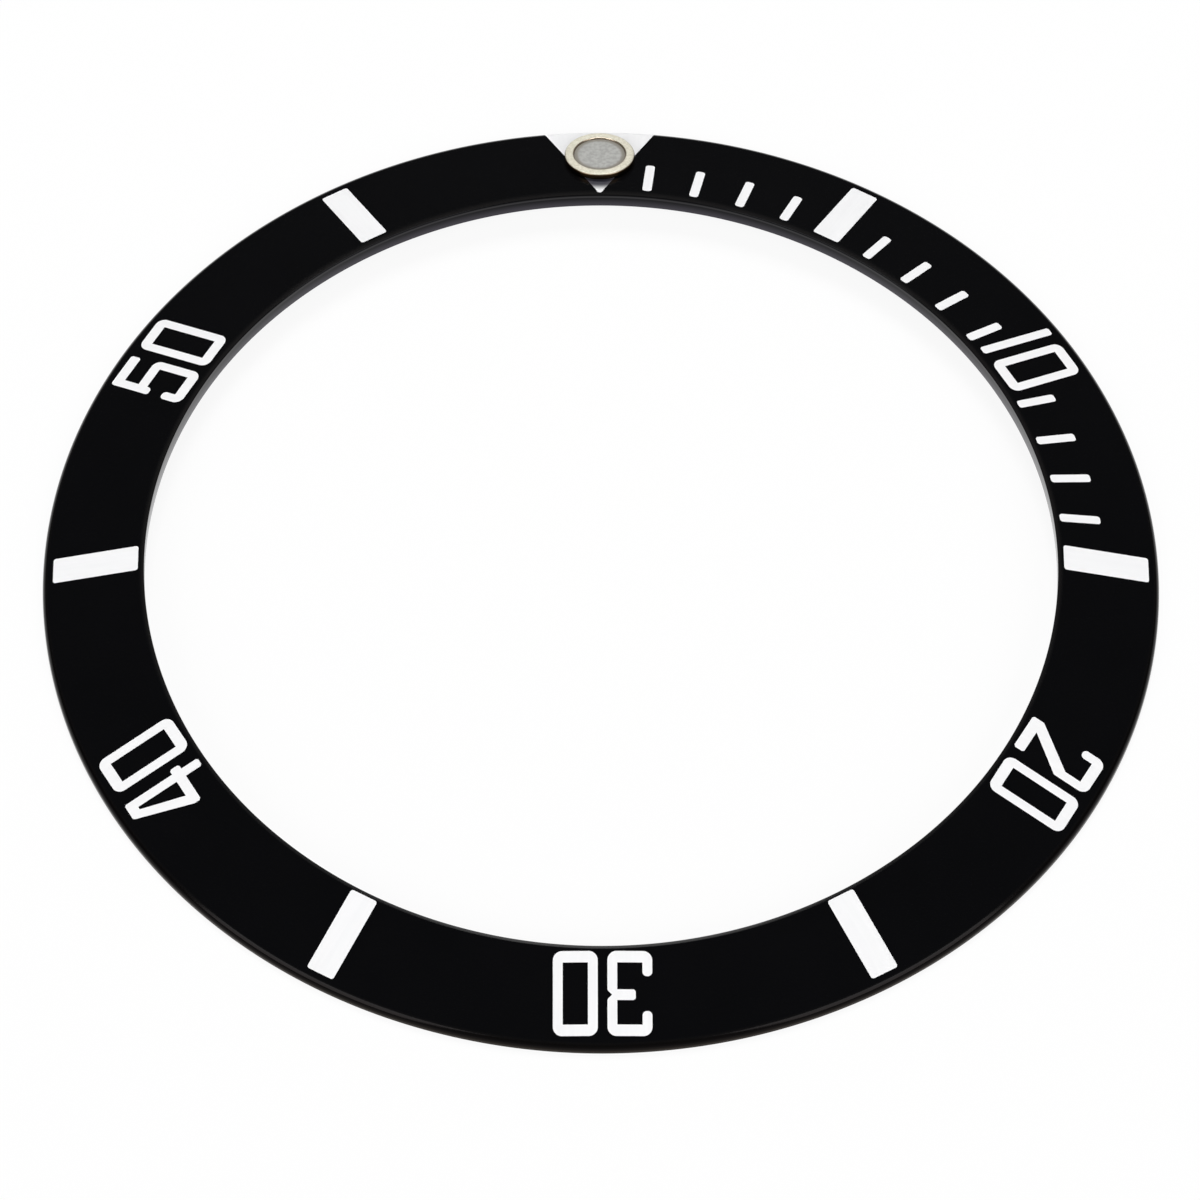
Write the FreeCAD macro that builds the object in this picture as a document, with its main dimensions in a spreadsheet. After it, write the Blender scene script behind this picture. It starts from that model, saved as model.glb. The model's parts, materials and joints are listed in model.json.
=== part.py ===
import FreeCAD, Part
import math
import os

from FreeCAD import Placement, Rotation, Vector
import Sketcher

# A diver's watch bezel insert: a thin conical ring, its sixty-minute scale of filled recesses,
# and a luminous pearl that stands in a hole in the triangle at twelve.
#
# Millimetres. The ring's axis is Z, its flat foot rests on Z = 0, and twelve o'clock is on +Y.
# Minutes run clockwise seen from above, so minute fifteen is on +X.

# Driving sizes: the cell's alias, its value, and what it measures
SIZES = [
    ("outer_radius", 18.80, "cylindrical rim that sits in the bezel"),
    ("ring_width", 3.45, "from the outer radius to the opening's wall"),
    ("rim_wall", 0.09, "upright wall of the rim, below its rounding"),
    ("rim_round", 0.30, "rounding of the rim into the face"),
    ("wall_height", 0.75, "upright wall of the opening, with the bevel over it"),
    ("opening_bevel", 0.18, "bevel of the face into the opening, along the radius"),
    ("opening_drop", 0.105, "height of that bevel"),
    ("fill_depth", 0.12, "depth of every recess of the scale"),
    ("inner_margin", 0.20, "from the opening's wall to the scale"),
    ("outer_margin", 0.36, "from the scale to the outer radius"),
    ("bar_width", 0.985, "wide five-minute bar"),
    ("line_width", 0.32, "short minute line"),
    ("line_length", 1.40, "short minute line, along the radius"),
    ("triangle_reach", 0.06, "from the opening's wall inwards to where the triangle's sides would meet"),
    ("pearl_margin", 0.135, "from the pearl's hole to the triangle's sides"),
    ("corner_bevel", 0.06, "small bevel on the corners of bars and strokes"),
    ("digit_inset", 0.055, "from each end of the bars to the digits"),
    ("digit_width", 1.46, "every digit but the one and the four"),
    ("four_width", 1.55, "digit four with its spur"),
    ("digit_gap", 0.315, "between the two digits of a number"),
    ("one_gap", 0.41, "between the one and its zero"),
    ("side_stroke", 0.32, "stroke that runs along the radius"),
    ("cap_stroke", 0.375, "stroke across a digit's top and bottom"),
    ("belt_stroke", 0.35, "stroke across a digit's middle"),
    ("hook_length", 0.82, "open ends of the two, three and five"),
    ("waist_notch", 0.15, "notch in the back of the three"),
    ("four_spur", 0.185, "crossbar of the four beyond its stem"),
    ("digit_corner", 0.30, "rounded outer corner of a digit"),
    ("bend_corner", 0.12, "smaller rounded corner of a digit, as where a slanted stroke turns"),
    ("flange_radius", 1.215, "pearl's flange on the face"),
    ("flange_floor", 0.05, "metal between the face and the pearl's luminous layer"),
    ("flange_bevel", 0.05, "bevel of the flange's upper edge"),
    ("stem_radius", 0.80, "pearl's stem in the ring"),
    ("stem_clearance", 0.02, "between the stem and its hole, all round"),
    ("stem_depth", 0.45, "pearl's stem below the face"),
    ("cup_wall", 0.18, "wall and floor of the stem"),
    ("lume_layer", 0.06, "luminous paste under the whole lens"),
    ("lens_radius", 0.89, "clear disc of the pearl"),
    ("lens_thickness", 0.09, "clear disc of the pearl"),
    ("lens_recess", 0.05, "lens below the top of the flange"),
    ("lens_clearance", 0.01, "between the lens and the cup, all round"),
    ("cutter_overrun", 0.50, "reach of a cutting form past what it cuts"),
]
ANGLES = [
    ("face_lean_degrees", 15.4, "lean of the conical face and of the underside"),
    ("triangle_half_degrees", 30.0, "half of the angle at the triangle's tip"),
]

# Minutes round the dial, from one marker to the next, from one number to the next, and those with lines
MINUTE_COUNT = 60
MARKER_STEP_COUNT = 5
NUMBER_STEP_COUNT = 10
LINED_MINUTE_COUNT = 15
# Straight steps that make up the rim's rounding
ROUND_STEP_COUNT = 3
FULL_TURN = 360.0

# Radius of a hook's round end, in strokes
HOOK_END_SHARE = 0.45
# Two: right end of the base and start of the slanted stroke, in widths; its bends and heel, in heights
TWO_BASE_SHARE = 0.945
TWO_SLANT_FOOT_SHARE = 0.32
TWO_LOWER_BEND_SHARE = 0.567
TWO_UPPER_BEND_SHARE = 0.66
TWO_HEEL_SHARE = 0.148
# Three: end of the middle arm, in widths; the waist, in heights
THREE_ARM_SHARE = 0.37
THREE_WAIST_SHARE = 0.515
# Four: underside of the crossbar and its blunt left end, in heights; the slanted stroke, in widths
FOUR_BAR_SHARE = 0.222
FOUR_HEEL_SHARE = 0.31
FOUR_SHOULDER_SHARE = 0.48
FOUR_COUNTER_FOOT_SHARE = 0.27
FOUR_COUNTER_TOP_SHARE = 0.605
# Five: right end of the top stroke, in widths; top of the belt and end of the stem, in heights;
# where the stem's slanted end starts, in strokes
FIVE_TOP_SHARE = 0.94
FIVE_BELT_SHARE = 0.666
FIVE_STEM_END_SHARE = 0.47
FIVE_SLANT_SHARE = 0.85

TOLERANCE = 1e-4

doc = FreeCAD.newDocument("BezelInsert")
sheet = doc.addObject("Spreadsheet::Sheet", "Sizes")


def fill_sheet():
    rows = [(alias, str(value), meaning) for alias, value, meaning in SIZES]
    rows += [(alias, "=%g deg" % value, meaning) for alias, value, meaning in ANGLES]
    for row, (alias, content, meaning) in enumerate(rows, 1):
        sheet.set("A%d" % row, alias)
        sheet.set("B%d" % row, content)
        sheet.set("C%d" % row, meaning)
        sheet.setAlias("B%d" % row, alias)
    doc.recompute()


class Size:
    """A size worked out from the sheet, which keeps both its value and its formula."""

    def __init__(self, formula, value):
        self.formula = formula
        self.value = value

    def __add__(self, other):
        return Size("(%s + %s)" % (self.formula, other.formula), self.value + other.value)

    def __sub__(self, other):
        return Size("(%s - %s)" % (self.formula, other.formula), self.value - other.value)

    def __neg__(self):
        return Size("(-%s)" % self.formula, -self.value)

    def __mul__(self, other):
        if isinstance(other, Size):
            return Size("(%s * %s)" % (self.formula, other.formula), self.value * other.value)
        return Size("(%s * %.6f)" % (self.formula, other), self.value * other)

    def __truediv__(self, other):
        if isinstance(other, Size):
            return Size("(%s / %s)" % (self.formula, other.formula), self.value / other.value)
        return Size("(%s / %.6f)" % (self.formula, other), self.value / other)


def cell(alias):
    return Size("Sizes." + alias, float(sheet.get(alias)))


def tangent(angle):
    return Size("tan(%s)" % angle.formula, math.tan(math.radians(angle.value)))


def sine(angle):
    return Size("sin(%s)" % angle.formula, math.sin(math.radians(angle.value)))


def cosine(angle):
    return Size("cos(%s)" % angle.formula, math.cos(math.radians(angle.value)))


fill_sheet()
ZERO = Size("0", 0.0)
QUARTER_TURN = Size("90 deg", 90.0)
overrun = cell("cutter_overrun")

# The ring. Its face falls by face_fall for each unit of radius, and the rounding reaches by
# round_reach down the rim and out along the face from the edge where the two would meet.
lean = cell("face_lean_degrees")
face_fall = tangent(lean)
round_sweep = QUARTER_TURN - lean
round_reach = cell("rim_round") * tangent(round_sweep / 2)
outer_radius = cell("outer_radius")
inner_radius = outer_radius - cell("ring_width")
rim_height = cell("rim_wall") + round_reach
crown_height = rim_height + cell("ring_width") * face_fall
scale_start = inner_radius + cell("inner_margin")
scale_end = outer_radius - cell("outer_margin")

# The triangle, whose tip runs out on the bevel, and the pearl whose hole stays clear of its sides
triangle_apex = inner_radius - cell("triangle_reach")
triangle_half = cell("triangle_half_degrees")
hole_radius = cell("stem_radius") + cell("stem_clearance")
pearl_place = triangle_apex + (hole_radius + cell("pearl_margin")) / sine(triangle_half)

# The digits
digit_width = cell("digit_width")
digit_start = scale_start + cell("digit_inset")
digit_height = scale_end - cell("digit_inset") - digit_start
four_width = cell("four_width")
side_stroke = cell("side_stroke")
cap_stroke = cell("cap_stroke")
belt_stroke = cell("belt_stroke")
hook_length = cell("hook_length")
digit_corner = cell("digit_corner")
bend_corner = cell("bend_corner")
hook_corner = side_stroke * HOOK_END_SHARE
corner_bevel = cell("corner_bevel")
SHARP = None


def face_height(radius):
    """Height of the conical face, or of its line carried on past its edges."""
    return rim_height + face_fall * (outer_radius - radius)


# Sketches, turned bodies and upright prisms


def origin_plane(body, role):
    for feature in body.Origin.OriginFeatures:
        if feature.Role == role:
            return feature
    raise RuntimeError("no plane " + role)


def add_loop(sketch, corners):
    """Closes an outline of straight runs, and ties every corner to its formulas."""
    points = [Vector(x.value, y.value, 0.0) for x, y in corners]
    first = sketch.GeometryCount
    count = len(points)
    for k in range(count):
        sketch.addGeometry(Part.LineSegment(points[k], points[(k + 1) % count]), False)
    for k in range(count):
        sketch.addConstraint(Sketcher.Constraint("Coincident", first + k, 2, first + (k + 1) % count, 1))
    for k, (x, y) in enumerate(corners):
        for direction, size in (("DistanceX", x), ("DistanceY", y)):
            index = sketch.addConstraint(Sketcher.Constraint(direction, first + k, 1, size.value))
            sketch.setExpression("Constraints[%d]" % index, size.formula)


def add_sketch(body, role, loops):
    sketch = body.newObject("Sketcher::SketchObject", body.Name + "Outline")
    sketch.AttachmentSupport = (origin_plane(body, role), [""])
    sketch.MapMode = "FlatFace"
    for corners in loops:
        add_loop(sketch, corners)
    return sketch


def turned(name, corners):
    """A body turned about its own Z axis from an outline of (radius, height) corners."""
    body = doc.addObject("PartDesign::Body", name)
    sketch = add_sketch(body, "XZ_Plane", [corners])
    turn = body.newObject("PartDesign::Revolution", name + "Turn")
    turn.Profile = sketch
    turn.ReferenceAxis = (sketch, ["V_Axis"])
    turn.Angle = FULL_TURN
    doc.recompute()
    return body


def upright(name, loops):
    """A prism that stands on XY and reaches past the crown, from loops of (across, outwards) corners."""
    body = doc.addObject("PartDesign::Body", name)
    sketch = add_sketch(body, "XY_Plane", loops)
    pad = body.newObject("PartDesign::Pad", name + "Pad")
    pad.Profile = sketch
    pad.setExpression("Length", (crown_height + overrun).formula)
    doc.recompute()
    return body


def upright_edge(shape, x, y):
    """Name of the upright edge through this corner."""
    for number, edge in enumerate(shape.Edges, 1):
        start = edge.Vertexes[0].Point
        end = edge.Vertexes[-1].Point
        at_corner = math.hypot(start.x - x.value, start.y - y.value) < TOLERANCE
        stands = math.hypot(end.x - start.x, end.y - start.y) < TOLERANCE < abs(end.z - start.z)
        if at_corner and stands:
            return "Edge%d" % number
    raise RuntimeError("no upright edge at %.3f, %.3f" % (x.value, y.value))


def ease_corners(body, corners, size):
    """Rounds the upright edges through these corners, or bevels them if the size is the small bevel."""
    kind, measure = ("Chamfer", "Size") if size is corner_bevel else ("Fillet", "Radius")
    feature = body.newObject("PartDesign::" + kind, body.Name + kind)
    base = feature.BaseFeature
    feature.Base = (base, [upright_edge(base.Shape, x, y) for x, y in corners])
    feature.setExpression(measure, size.formula)
    doc.recompute()


def boolean(kind, name, base, tool):
    feature = doc.addObject("Part::" + kind, name)
    feature.Base = base
    feature.Tool = tool
    return feature


def box_corners(left, right, low, high):
    return [(left, low), (right, low), (right, high), (left, high)]


# The ring before its scale is cut


def rim_rounding():
    """Corners of the rounding, which climbs from the rim to the face in a few straight steps."""
    radius = cell("rim_round")
    centre_radius = outer_radius - radius
    centre_height = rim_height - round_reach
    corners = []
    for step in range(ROUND_STEP_COUNT + 1):
        angle = round_sweep * (step / ROUND_STEP_COUNT)
        corners.append((centre_radius + radius * cosine(angle), centre_height + radius * sine(angle)))
    return corners


def ring_blank():
    """Conical washer: its underside runs parallel to the face down to a flat foot."""
    wall_foot = crown_height - cell("wall_height")
    opening_edge = inner_radius + cell("opening_bevel")
    edge_height = face_height(opening_edge)
    return turned("RingBlank", [
        (inner_radius + wall_foot / face_fall, ZERO),
        (outer_radius, ZERO),
        *rim_rounding(),
        (opening_edge, edge_height),
        (inner_radius, edge_height - cell("opening_drop")),
        (inner_radius, wall_foot),
    ])


def fill_zone():
    """Everything above the floor that all recesses share, which runs parallel to the face."""
    inside = inner_radius - overrun
    outside = outer_radius + overrun
    depth = cell("fill_depth")
    top = crown_height + overrun
    return turned("FillZone", [
        (inside, face_height(inside) - depth),
        (outside, face_height(outside) - depth),
        (outside, top),
        (inside, top),
    ])


# Outlines of the scale, each standing upright on the minute it belongs to


def triangle_prism():
    base = outer_radius + overrun
    spread = (base - triangle_apex) * tangent(triangle_half)
    return upright("TrianglePrism", [[(ZERO, triangle_apex), (spread, base), (-spread, base)]])


def bar_prism(minute):
    half_width = cell("bar_width") / 2
    corners = box_corners(-half_width, half_width, scale_start, scale_end)
    body = upright("Bar%d" % minute, [corners])
    ease_corners(body, corners, corner_bevel)
    return body


def line_prism(minute):
    half_width = cell("line_width") / 2
    return upright("Line%d" % minute, [
        box_corners(-half_width, half_width, scale_start, scale_start + cell("line_length"))
    ])


# Digits. Each function returns its loops in the digit's own box, whose lower left corner is (0, 0).
# A corner of a loop is its place across, its place up, and the size that eases it.


def eased_box(left, right, low, high, size):
    return [(x, y, size) for x, y in box_corners(left, right, low, high)]


def hook(end, root):
    """Left hook of a digit, from its free end to the inner corner where it leaves the cap stroke."""
    return [
        (ZERO, end, hook_corner),
        (side_stroke, end, hook_corner),
        (side_stroke, root, SHARP),
    ]


def digit_zero():
    inner_right = digit_width - side_stroke
    inner_top = digit_height - cap_stroke
    outside = eased_box(ZERO, digit_width, ZERO, digit_height, digit_corner)
    counter = eased_box(side_stroke, inner_right, cap_stroke, inner_top, SHARP)
    return [outside, counter]


def digit_one():
    return [eased_box(ZERO, side_stroke, ZERO, digit_height, corner_bevel)]


def digit_two():
    top = digit_height
    inner_right = digit_width - side_stroke
    base_end = digit_width * TWO_BASE_SHARE
    return [[
        (ZERO, ZERO, corner_bevel),
        (base_end, ZERO, corner_bevel),
        (base_end, cap_stroke, corner_bevel),
        (digit_width * TWO_SLANT_FOOT_SHARE, cap_stroke, SHARP),
        (digit_width, top * TWO_LOWER_BEND_SHARE, bend_corner),
        (digit_width, top, digit_corner),
        (ZERO, top, digit_corner),
        *hook(top - hook_length, top - cap_stroke),
        (inner_right, top - cap_stroke, SHARP),
        (inner_right, top * TWO_UPPER_BEND_SHARE, bend_corner),
        (ZERO, top * TWO_HEEL_SHARE, bend_corner),
    ]]


def digit_three():
    top = digit_height
    inner_right = digit_width - side_stroke
    notch = cell("waist_notch")
    waist = top * THREE_WAIST_SHARE
    arm_low = waist - belt_stroke / 2
    arm_high = waist + belt_stroke / 2
    arm_end = digit_width * THREE_ARM_SHARE
    return [[
        (ZERO, ZERO, digit_corner),
        (digit_width, ZERO, digit_corner),
        (digit_width, waist - notch, bend_corner),
        (digit_width - notch, waist, SHARP),
        (digit_width, waist + notch, bend_corner),
        (digit_width, top, digit_corner),
        (ZERO, top, digit_corner),
        *hook(top - hook_length, top - cap_stroke),
        (inner_right, top - cap_stroke, SHARP),
        (inner_right, arm_high, SHARP),
        (arm_end, arm_high, corner_bevel),
        (arm_end, arm_low, corner_bevel),
        (inner_right, arm_low, SHARP),
        (inner_right, cap_stroke, SHARP),
        *reversed(hook(hook_length, cap_stroke)),
    ]]


def digit_four():
    top = digit_height
    stem_right = four_width - cell("four_spur")
    stem_left = stem_right - side_stroke
    bar_low = top * FOUR_BAR_SHARE
    bar_high = bar_low + belt_stroke
    counter_top = top - belt_stroke
    outside = [
        (stem_left, ZERO, corner_bevel),
        (stem_right, ZERO, corner_bevel),
        (stem_right, bar_low, SHARP),
        (four_width, bar_low, corner_bevel),
        (four_width, bar_high, corner_bevel),
        (stem_right, bar_high, SHARP),
        (stem_right, top, corner_bevel),
        (four_width * FOUR_SHOULDER_SHARE, top, bend_corner),
        (ZERO, top * FOUR_HEEL_SHARE, bend_corner),
        (ZERO, bar_low, corner_bevel),
        (stem_left, bar_low, SHARP),
    ]
    counter = [
        (four_width * FOUR_COUNTER_FOOT_SHARE, bar_high, SHARP),
        (stem_left, bar_high, SHARP),
        (stem_left, counter_top, SHARP),
        (four_width * FOUR_COUNTER_TOP_SHARE, counter_top, SHARP),
    ]
    return [outside, counter]


def digit_five():
    top = digit_height
    inner_right = digit_width - side_stroke
    belt_high = top * FIVE_BELT_SHARE
    belt_low = belt_high - belt_stroke
    top_end = digit_width * FIVE_TOP_SHARE
    stem_end = top * FIVE_STEM_END_SHARE
    return [[
        (ZERO, ZERO, digit_corner),
        (digit_width, ZERO, digit_corner),
        (digit_width, belt_high, digit_corner),
        (side_stroke, belt_high, SHARP),
        (side_stroke, top - cap_stroke, SHARP),
        (top_end, top - cap_stroke, corner_bevel),
        (top_end, top, corner_bevel),
        (ZERO, top, bend_corner),
        (ZERO, stem_end, corner_bevel),
        (side_stroke * FIVE_SLANT_SHARE, stem_end, corner_bevel),
        (side_stroke, belt_low, SHARP),
        (inner_right, belt_low, SHARP),
        (inner_right, cap_stroke, SHARP),
        *reversed(hook(hook_length, cap_stroke)),
    ]]


TENS_DIGITS = (digit_one, digit_two, digit_three, digit_four, digit_five)
SPECIAL_WIDTHS = {digit_one: side_stroke, digit_four: four_width}
SPECIAL_GAPS = {digit_one: cell("one_gap")}


def digit_prism(name, digit, left):
    """The digit's prism with its box moved to this left side and to where the digits start."""
    loops = []
    eased = {}
    for loop in digit():
        corners = []
        for x, y, size in loop:
            corner = (left + x, digit_start + y)
            corners.append(corner)
            if size is not SHARP:
                eased.setdefault(size, []).append(corner)
        loops.append(corners)
    body = upright(name, loops)
    for size, corners in eased.items():
        ease_corners(body, corners, size)
    return body


def number_prisms(minute, tens):
    """The tens digit and the zero of a number, centred together on their minute."""
    tens_width = SPECIAL_WIDTHS.get(tens, digit_width)
    gap = SPECIAL_GAPS.get(tens, cell("digit_gap"))
    left = -(tens_width + gap + digit_width) / 2
    yield "tens", digit_prism("Tens%d" % minute, tens, left)
    yield "units", digit_prism("Units%d" % minute, digit_zero, left + tens_width + gap)


def turn_to_minute(body, minute):
    body.Placement = Placement(Vector(), Rotation(Vector(0, 0, -1), FULL_TURN * minute / MINUTE_COUNT))


def scale_prisms():
    """Yields the name of every filled recess with the prism that outlines it."""
    yield "triangle_inlay", triangle_prism()
    for minute in range(MARKER_STEP_COUNT, MINUTE_COUNT, NUMBER_STEP_COUNT):
        bar = bar_prism(minute)
        turn_to_minute(bar, minute)
        yield "bar_inlay_%02d" % minute, bar
    for minute in range(LINED_MINUTE_COUNT):
        if minute % MARKER_STEP_COUNT:
            line = line_prism(minute)
            turn_to_minute(line, minute)
            yield "minute_inlay_%02d" % minute, line
    for number, tens in enumerate(TENS_DIGITS, 1):
        minute = number * NUMBER_STEP_COUNT
        for place, prism in number_prisms(minute, tens):
            turn_to_minute(prism, minute)
            yield "numeral_%d_%s" % (minute, place), prism


# The pearl, turned about an axis that stands square to the face at twelve


def stand_on_face(body):
    """Puts the body's origin on the face at the pearl's place, and its Z axis square to it."""
    body.Placement = Placement(Vector(0, pearl_place.value, 0), Rotation(Vector(-1, 0, 0), lean.value))
    body.setExpression("Placement.Base.y", pearl_place.formula)
    body.setExpression("Placement.Base.z", face_height(pearl_place).formula)
    body.setExpression("Placement.Rotation.Angle", lean.formula)


def pearl_bodies():
    """The cup, the luminous pellet in it, the lens that closes it, and the hole for its stem."""
    flange_radius = cell("flange_radius")
    flange_bevel = cell("flange_bevel")
    ledge = cell("flange_floor")
    lens_foot = ledge + cell("lume_layer")
    lens_top = lens_foot + cell("lens_thickness")
    flange_top = lens_top + cell("lens_recess")
    lens_radius = cell("lens_radius")
    mouth = lens_radius + cell("lens_clearance")
    stem_radius = cell("stem_radius")
    stem_foot = -cell("stem_depth")
    well = stem_radius - cell("cup_wall")
    well_floor = stem_foot + cell("cup_wall")
    capsule = turned("PearlCapsule", [
        (ZERO, stem_foot),
        (stem_radius, stem_foot),
        (stem_radius, ZERO),
        (flange_radius, ZERO),
        (flange_radius, flange_top - flange_bevel),
        (flange_radius - flange_bevel, flange_top),
        (mouth, flange_top),
        (mouth, ledge),
        (well, ledge),
        (well, well_floor),
        (ZERO, well_floor),
    ])
    lume = turned("PearlLume", [
        (ZERO, well_floor),
        (well, well_floor),
        (well, ledge),
        (mouth, ledge),
        (mouth, lens_foot),
        (ZERO, lens_foot),
    ])
    lens = turned("PearlLens", box_corners(ZERO, lens_radius, lens_foot, lens_top))
    reach = crown_height + overrun
    hole = turned("PearlHole", box_corners(ZERO, hole_radius, -reach, reach))
    for body in (capsule, lume, lens, hole):
        stand_on_face(body)
    return capsule, lume, lens, hole


# Assembly


def build():
    """Cuts every recess from the blank, and keeps what each recess takes from the face as its fill."""
    blank = ring_blank()
    zone = fill_zone()
    face_skin = boolean("Common", "FaceSkin", blank, zone)
    capsule, lume, lens, hole = pearl_bodies()
    parts = {"pearl_capsule": capsule, "pearl_lume": lume, "pearl_lens": lens}
    prisms = []
    for name, prism in scale_prisms():
        prisms.append(prism)
        parts[name] = boolean("Common", "Fill%d" % len(prisms), face_skin, prism)
    parts["triangle_inlay"] = boolean("Cut", "PiercedTriangle", parts["triangle_inlay"], hole)
    outlines = doc.addObject("Part::Compound", "ScaleOutlines")
    outlines.Links = prisms
    recesses = boolean("Common", "Recesses", outlines, zone)
    engraved = boolean("Cut", "EngravedRing", blank, recesses)
    parts["insert_ring"] = boolean("Cut", "PiercedRing", engraved, hole)
    for name, part in parts.items():
        part.Label = name
    doc.recompute()
    return parts


def check_objects():
    for item in doc.Objects:
        if "Invalid" in item.State or "Error" in item.State:
            raise RuntimeError("%s is %s" % (item.Label, item.State))


def write_parts(parts):
    os.makedirs("parts", exist_ok=True)
    for name, part in parts.items():
        shape = part.Shape
        if shape.isNull() or not shape.isValid() or len(shape.Solids) != 1:
            raise RuntimeError("%s is not one valid solid" % name)
        shape.exportStep("parts/%s.step" % name)
        print("%-20s %8.4f mm3" % (name, shape.Volume))


all_parts = build()
check_objects()
write_parts(all_parts)
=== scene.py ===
import json
import math

import bmesh
import bpy
from mathutils import Matrix, Vector

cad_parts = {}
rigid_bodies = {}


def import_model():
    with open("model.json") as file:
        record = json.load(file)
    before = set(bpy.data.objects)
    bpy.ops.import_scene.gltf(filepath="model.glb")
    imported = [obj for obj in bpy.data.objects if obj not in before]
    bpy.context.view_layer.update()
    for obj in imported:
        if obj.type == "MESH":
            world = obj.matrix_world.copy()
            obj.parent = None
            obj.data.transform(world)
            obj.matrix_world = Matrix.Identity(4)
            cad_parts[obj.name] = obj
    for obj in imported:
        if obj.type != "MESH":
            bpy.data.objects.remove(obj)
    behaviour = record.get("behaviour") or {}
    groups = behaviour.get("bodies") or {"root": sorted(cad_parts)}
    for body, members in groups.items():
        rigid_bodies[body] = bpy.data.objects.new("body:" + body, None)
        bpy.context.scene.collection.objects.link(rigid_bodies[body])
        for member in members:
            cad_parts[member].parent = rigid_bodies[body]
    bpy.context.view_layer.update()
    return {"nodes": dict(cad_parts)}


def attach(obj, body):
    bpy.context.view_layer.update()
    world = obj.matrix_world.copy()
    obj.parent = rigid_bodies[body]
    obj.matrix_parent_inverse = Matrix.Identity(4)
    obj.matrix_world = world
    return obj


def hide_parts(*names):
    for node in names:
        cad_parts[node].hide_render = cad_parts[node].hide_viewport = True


# Looks for a diver's watch bezel insert: a glossy black ring that slopes outwards, its filled minute
# scale, and the luminous pearl in the triangle at twelve.
#
# Sizes are in millimetres and are turned into metres when a mesh is made. Z is the ring's axis,
# the ring stands on Z = 0, and twelve o'clock is on +Y.

MILLIMETRE = 0.001

# Lengths up to this one count as none
TINY = 1e-6

# Arcs are drawn in steps of the first angle, and edges that bend more than the second stay sharp
ARC_STEP = math.radians(6)
SHARP_ANGLE = math.radians(25)

# Ring. WALL_HEIGHT is measured down from the crown, where the face would meet the opening without
# its bevel
OUTER_RADIUS = 18.80
INNER_RADIUS = 15.35
LEAN = math.radians(15.4)
RIM_WALL = 0.09
RIM_ROUND = 0.30
WALL_HEIGHT = 0.75
OPENING_BEVEL = 0.18
OPENING_DROP = 0.105
LIP_ROUND = 0.05
FOOT_ROUND = 0.02
RING_STEPS = 360

# Scale. The cutters of its recesses stand CUTTER_LIFT above the face
FILL_DEPTH = 0.12
CUTTER_LIFT = 0.60
SCALE_START = INNER_RADIUS + 0.20
SCALE_END = OUTER_RADIUS - 0.36
BAR_WIDTH = 0.985
BAR_CORNER = 0.09
LINE_WIDTH = 0.32
LINE_LENGTH = 1.40
LINE_CORNER = 0.10
MARK_COLUMNS = 8
CORNER_STEPS = 6

# Triangle at twelve. Its sides would meet at the tip, which is rounded, and its base is past the rim
TRIANGLE_TIP = INNER_RADIUS - 0.06
TRIANGLE_BASE = OUTER_RADIUS + 0.50
TRIANGLE_HALF_ANGLE = math.radians(30)
TRIANGLE_ROUND = 0.15
TRIANGLE_STRIPS = 24

# Pearl, in its own frame: Z stands square to the face, and 0 is the face
PEARL_RADIUS = 17.20
FLANGE_RADIUS = 1.215
FLANGE_TOP = 0.25
FLANGE_ROUND = 0.07
FLANGE_UNDERCUT = 0.08
MOUTH_RADIUS = 0.90
MOUTH_ROUND = 0.03
LEDGE = 0.05
WELL_RADIUS = 0.62
WELL_FLOOR = -0.27
STEM_RADIUS = 0.80
STEM_FOOT = -0.45
HOLE_RADIUS = 0.82
HOLE_REACH = 1.0
LENS_RADIUS = 0.89
LENS_FOOT = 0.11
LENS_TOP = 0.20
LENS_ROUND = 0.02
PEARL_STEPS = 96

# Heights and places that follow from these
RIM_REACH = RIM_ROUND * math.tan((math.pi / 2 - LEAN) / 2)
RIM_HEIGHT = RIM_WALL + RIM_REACH
CROWN = RIM_HEIGHT + (OUTER_RADIUS - INNER_RADIUS) * math.tan(LEAN)
WALL_FOOT = CROWN - WALL_HEIGHT
BEVEL_EDGE = INNER_RADIUS + OPENING_BEVEL
LIP_HEIGHT = CROWN - OPENING_BEVEL * math.tan(LEAN) - OPENING_DROP

# Heights on the opening's wall: its painted light goes from dark at the first to pale at the second, and
# a fine painted highlight line runs round at the third, full as far as its core and gone past its reach
WALL_DARK_ABOVE = 1.00
WALL_PALE_BELOW = 0.54
WALL_LINE = 1.02
WALL_LINE_CORE = 0.02
WALL_LINE_REACH = 0.06

# Radii between which the bevel's dye gives way to the wall's painted light
BEVEL_DYE_END = INNER_RADIUS + 0.03
WALL_LIGHT_START = INNER_RADIUS + 0.01

# Other measures of the finishes. The turning lines' rate is in radians for each millimetre
WORN_RIM_HEIGHT = 0.25
STREAK_STRETCH = 0.06
# Painted shade on the fill round the pearl: full out to the first distance from its axis, none past the
# second
PAINTED_SHADE_START = FLANGE_RADIUS + 0.20
PAINTED_SHADE_END = FLANGE_RADIUS + 0.60
TURNING_RATE = 160.0
# Painted shade on the paste towards the cup's mouth: none at the first radius, full at the second
PASTE_EDGE_START = MOUTH_RADIUS - 0.22
PASTE_EDGE_END = MOUTH_RADIUS - 0.04
# Painted shade round the window's edge: none at the first radius, full at the second
WINDOW_SHADE_START = LENS_RADIUS - 0.20
WINDOW_SHADE_END = LENS_RADIUS - 0.06
WINDOW_ALPHA = 0.75

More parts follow.
